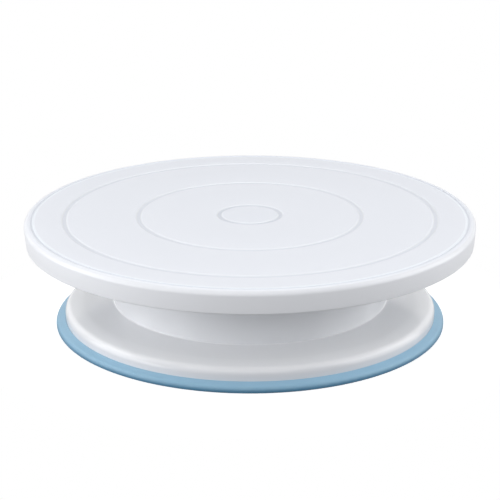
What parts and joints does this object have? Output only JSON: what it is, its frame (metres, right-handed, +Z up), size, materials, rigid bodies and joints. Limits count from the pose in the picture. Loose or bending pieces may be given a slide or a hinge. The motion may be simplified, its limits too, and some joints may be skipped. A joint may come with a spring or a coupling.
{
  "type": "lazy susan turntable",
  "caption": "Round table-top turntable: a wide skirted plate on a spool-shaped base with a soft ring, turning on caged balls and a centre spindle.",
  "frame": {"origin": "centre of the base, on the surface it stands on", "axes": "+Z up, along the turning axis"},
  "size_m": [0.28, 0.28, 0.068],
  "materials": {
    "white_plate": "frosted",
    "white_base": "gloss",
    "blue_rubber": "satin",
    "ivory_plastic": "satin",
    "steel": "brushed",
    "ball_steel": "polished"
  },
  "bodies": {
    "base": {"base_shell": "white_base", "nonslip_ring": "blue_rubber", "lower_race": "steel", "upper_bush": "ivory_plastic", "lower_bush": "ivory_plastic", "hub_cap": "white_base"},
    "turntable": {"turntable_plate": "white_plate", "upper_race": "steel", "spindle": "steel", "thrust_washer": "ivory_plastic", "retaining_washer": "steel", "spring_washer": "steel", "retaining_screw": "steel"},
    "cage": {"ball_cage": "ivory_plastic", "ball_01": "ball_steel", "ball_02": "ball_steel", "ball_03": "ball_steel", "ball_04": "ball_steel", "ball_05": "ball_steel", "ball_06": "ball_steel", "ball_07": "ball_steel", "ball_08": "ball_steel", "ball_09": "ball_steel", "ball_10": "ball_steel", "ball_11": "ball_steel", "ball_12": "ball_steel", "ball_13": "ball_steel", "ball_14": "ball_steel", "ball_15": "ball_steel", "ball_16": "ball_steel", "ball_17": "ball_steel", "ball_18": "ball_steel", "ball_19": "ball_steel", "ball_20": "ball_steel", "ball_21": "ball_steel", "ball_22": "ball_steel", "ball_23": "ball_steel", "ball_24": "ball_steel"}
  },
  "joints": [
    {"name": "plate_spin", "type": "hinge", "parent": "base", "child": "turntable", "pos_m": [0, 0, 0.0598], "axis": [0, 0, 1], "continuous": true},
    {"name": "cage_spin", "type": "hinge", "parent": "base", "child": "cage", "pos_m": [0, 0, 0.0598], "axis": [0, 0, 1], "continuous": true}
  ],
  "couplings": [
    {"joint": "cage_spin", "follows": "plate_spin", "ratio": 0.5}
  ]
}
